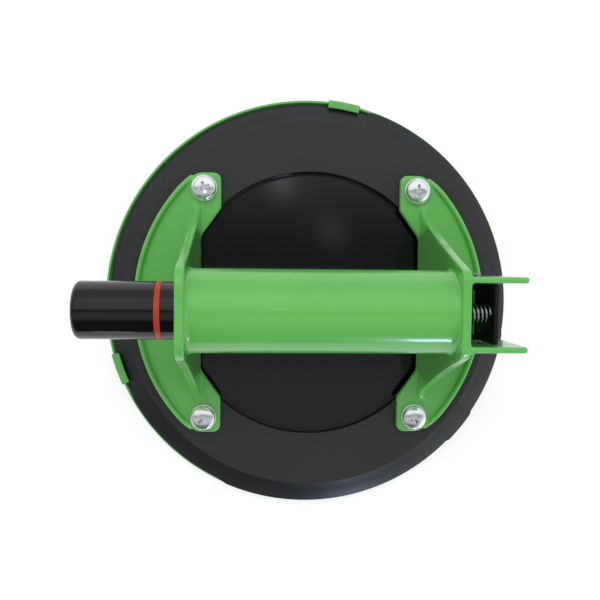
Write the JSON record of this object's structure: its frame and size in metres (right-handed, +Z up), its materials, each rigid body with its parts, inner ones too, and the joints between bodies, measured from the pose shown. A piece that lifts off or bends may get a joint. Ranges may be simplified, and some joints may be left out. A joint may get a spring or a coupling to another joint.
{
  "type": "single suction cup lifter",
  "caption": "Hand-pumped suction cup lifter: a round rubber pad and backing plate, painted end brackets, a tubular grip with a pump plunger, a release lever and a protective cover.",
  "frame": {"origin": "on the floor, under the middle of the protective cover that the lifter stands in", "axes": "+Z up, away from the pad's sealing face; +X along the grip towards the release lever, the plunger points to -X"},
  "size_m": [0.203, 0.2031, 0.0928],
  "materials": {
    "green_cover_plastic": "glossy moulded green plastic",
    "pad_rubber": "smooth black rubber, slightly worn satin",
    "plate_black": "black lacquer, satin ring and glossy floor",
    "filter_foam": "open-cell grey foam",
    "seal_rubber": "matt black rubber",
    "insert_brass": "bare turned brass",
    "green_paint": "thick glossy green paint on cast metal",
    "zinc_plating": "bright plating",
    "white_acetal": "off-white moulded acetal",
    "plug_plastic": "black moulded plastic",
    "valve_silicone": "red silicone rubber",
    "spring_steel": "bright drawn spring wire",
    "housing_plastic": "black moulded plastic",
    "pin_steel": "ground steel",
    "plunger_plastic": "glossy black moulded plastic",
    "ring_red": "satin red plastic",
    "piston_aluminium": "turned aluminium",
    "lever_plastic": "black moulded plastic"
  },
  "bodies": {
    "cover": {"protective_cover": "green_cover_plastic"},
    "lifter": {"rubber_pad": "pad_rubber", "backing_plate": "plate_black", "pad_filter": "filter_foam", "port_seal": "seal_rubber", "plate_insert_1": "insert_brass", "plate_insert_2": "insert_brass", "plate_insert_3": "insert_brass", "plate_insert_4": "insert_brass", "left_bracket": "green_paint", "right_bracket": "green_paint", "grip_tube": "green_paint", "foot_washer_1": "zinc_plating", "foot_washer_2": "zinc_plating", "foot_washer_3": "zinc_plating", "foot_washer_4": "zinc_plating", "foot_screw_1": "zinc_plating", "foot_screw_2": "zinc_plating", "foot_screw_3": "zinc_plating", "foot_screw_4": "zinc_plating", "pump_cylinder": "white_acetal", "cylinder_plug": "plug_plastic", "plug_seal": "seal_rubber", "check_valve": "valve_silicone", "guide_bush": "white_acetal", "plunger_wiper": "seal_rubber", "pump_spring": "spring_steel", "valve_housing": "housing_plastic", "lever_pin": "pin_steel", "pin_clip": "pin_steel", "lever_spring": "spring_steel"},
    "plunger": {"plunger": "plunger_plastic", "indicator_ring": "ring_red", "piston_rod": "pin_steel", "rod_pin": "pin_steel", "piston": "piston_aluminium", "piston_seal": "seal_rubber", "piston_nut": "zinc_plating"},
    "lever": {"release_lever": "lever_plastic", "vent_seal": "seal_rubber"}
  },
  "joints": [
    {"name": "lift_off", "type": "slide", "parent": "cover", "child": "lifter", "axis": [0, 0, 1], "range_m": [0, 0.06], "deforming": ["rubber_pad"]},
    {"name": "plunger_stroke", "type": "slide", "parent": "lifter", "child": "plunger", "axis": [1, 0, 0], "range_m": [0, 0.034], "stiffness_N_per_m": 300, "springref_m": -0.03, "deforming": ["pump_spring"]},
    {"name": "release_lever", "type": "hinge", "parent": "lifter", "child": "lever", "pos_m": [0.065, 0, 0.072], "axis": [0, -1, 0], "range_deg": [0, 12], "stiffness_Nm_per_rad": 0.35, "springref_deg": -9.74, "deforming": ["lever_spring"]}
  ]
}
